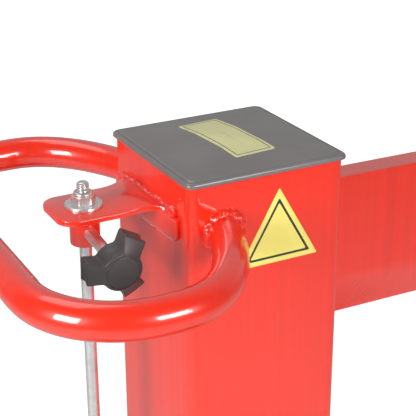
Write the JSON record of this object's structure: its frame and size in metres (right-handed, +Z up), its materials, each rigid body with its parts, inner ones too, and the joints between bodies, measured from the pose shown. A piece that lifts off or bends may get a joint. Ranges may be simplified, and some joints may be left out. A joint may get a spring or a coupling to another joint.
{
  "type": "log splitter",
  "caption": "Upright hydraulic log splitter: square ram with wedge, loop handle and stroke rod over a guide column, two control arms, lift-off table, motor, pump, tank and wheels.",
  "frame": {"origin": "on the floor, on the axis of the square column, midway between the grips and the tyres", "axes": "+X towards the log side, +Y to the left of the machine, +Z up"},
  "size_m": [1.024, 0.58, 1.4393],
  "materials": {
    "red_paint": "glossy powder coat",
    "black_cap": "moulded, satin",
    "black_knob": "moulded, fine grain",
    "zinc": "bright zinc plate",
    "chrome": "hard chrome",
    "decal": "vinyl film",
    "dark_paint": "semi-gloss enamel",
    "motor_alloy": "painted casting",
    "bare_steel": "machined",
    "nylon": "natural nylon",
    "tyre": "moulded rubber",
    "rubber_grip": "ribbed",
    "switch_plastic": "moulded, fine grain",
    "green_button": "moulded",
    "red_button": "moulded",
    "inlet_blue": "moulded",
    "sight_glass": "oil behind a clear lens",
    "copper": "varnished winding",
    "spring_steel": "oiled"
  },
  "bodies": {
    "frame": {"base_plate": "red_paint", "base_skids": "red_paint", "guide_column": "red_paint", "guide_pads": "nylon", "pad_screws": "zinc", "pivot_bolts": "zinc", "cylinder_barrel": "dark_paint", "cylinder_gland": "bare_steel", "port_block": "bare_steel", "valve_block": "dark_paint", "feed_pipes": "zinc", "pressure_pipe": "zinc", "return_pipe": "zinc", "suction_pipe": "zinc", "oil_tank": "dark_paint", "filler_cap": "black_cap", "drain_plug": "zinc", "oil_sight": "sight_glass", "motor_body": "motor_alloy", "motor_shields": "motor_alloy", "motor_stator": "copper", "fan_cowl": "dark_paint", "pump_bell": "motor_alloy", "pump_body": "motor_alloy", "switch_box": "switch_plastic", "power_inlet": "inlet_blue", "axle": "zinc", "axle_collars": "zinc"},
    "ram": {"ram_column": "red_paint", "ram_cap": "black_cap", "cap_decal": "decal", "side_decal": "decal", "splitting_wedge": "red_paint", "transport_handle": "red_paint", "rod_bracket": "red_paint", "lock_collar": "red_paint", "head_plate": "bare_steel", "piston_rod": "chrome", "piston": "bare_steel"},
    "stop_rod": {"stroke_rod": "zinc", "rod_nuts": "zinc", "rod_washer": "zinc"},
    "knob": {"clamp_knob": "black_knob", "knob_stud": "zinc"},
    "arm_left": {"control_arm_left": "red_paint", "grip_left": "rubber_grip"},
    "arm_right": {"control_arm_right": "red_paint", "grip_right": "rubber_grip"},
    "spool": {"valve_spool": "bare_steel", "return_spring": "spring_steel", "rocker_bar": "red_paint"},
    "table": {"work_table": "red_paint"},
    "wheel_left": {"wheel_rim_left": "dark_paint", "tyre_left": "tyre"},
    "wheel_right": {"wheel_rim_right": "dark_paint", "tyre_right": "tyre"},
    "rotor": {"motor_rotor": "bare_steel", "motor_fan": "black_cap"},
    "start": {"start_button": "green_button"},
    "stop": {"stop_button": "red_button"}
  },
  "joints": [
    {"name": "ram_slide", "type": "slide", "parent": "frame", "child": "ram", "axis": [0, 0, 1], "range_m": [-0.475, 0]},
    {"name": "rod_slide", "type": "slide", "parent": "ram", "child": "stop_rod", "axis": [0, 0, 1], "range_m": [0, 0.09]},
    {"name": "knob_turn", "type": "hinge", "parent": "ram", "child": "knob", "pos_m": [-0.127, 0, 1.3848], "axis": [0, -0.9936, -0.1132], "range_deg": [-360, 360]},
    {"name": "arm_left_press", "type": "hinge", "parent": "frame", "child": "arm_left", "pos_m": [-0.05, 0.112, 0.69], "axis": [0, 1, 0], "range_deg": [0, 12], "stiffness_Nm_per_rad": 26, "springref_deg": -45.84},
    {"name": "arm_right_press", "type": "hinge", "parent": "frame", "child": "arm_right", "pos_m": [-0.05, -0.112, 0.69], "axis": [0, 1, 0], "range_deg": [0, 12]},
    {"name": "spool_slide", "type": "slide", "parent": "frame", "child": "spool", "axis": [0, 0, 1], "range_m": [0, 0.0187], "deforming": ["return_spring"]},
    {"name": "table_lift", "type": "slide", "parent": "frame", "child": "table", "axis": [0, 0, 1], "range_m": [0, 0.03]},
    {"name": "wheel_left_spin", "type": "hinge", "parent": "frame", "child": "wheel_left", "pos_m": [-0.42, 0.198, 0.095], "axis": [0, 1, 0], "continuous": true},
    {"name": "wheel_right_spin", "type": "hinge", "parent": "frame", "child": "wheel_right", "pos_m": [-0.42, -0.198, 0.095], "axis": [0, 1, 0], "continuous": true},
    {"name": "rotor_spin", "type": "hinge", "parent": "frame", "child": "rotor", "pos_m": [-0.285, 0, 0.318], "axis": [0, 1, 0], "continuous": true},
    {"name": "start_press", "type": "slide", "parent": "frame", "child": "start", "axis": [0, 1, 0], "range_m": [0, 0.003], "stiffness_N_per_m": 1500, "springref_m": -0.002},
    {"name": "stop_press", "type": "slide", "parent": "frame", "child": "stop", "axis": [0, 1, 0], "range_m": [0, 0.003], "stiffness_N_per_m": 1500, "springref_m": -0.002}
  ],
  "couplings": [
    {"joint": "arm_right_press", "follows": "arm_left_press", "ratio": 1},
    {"joint": "spool_slide", "follows": "arm_left_press", "m_per_rad": 0.089}
  ]
}
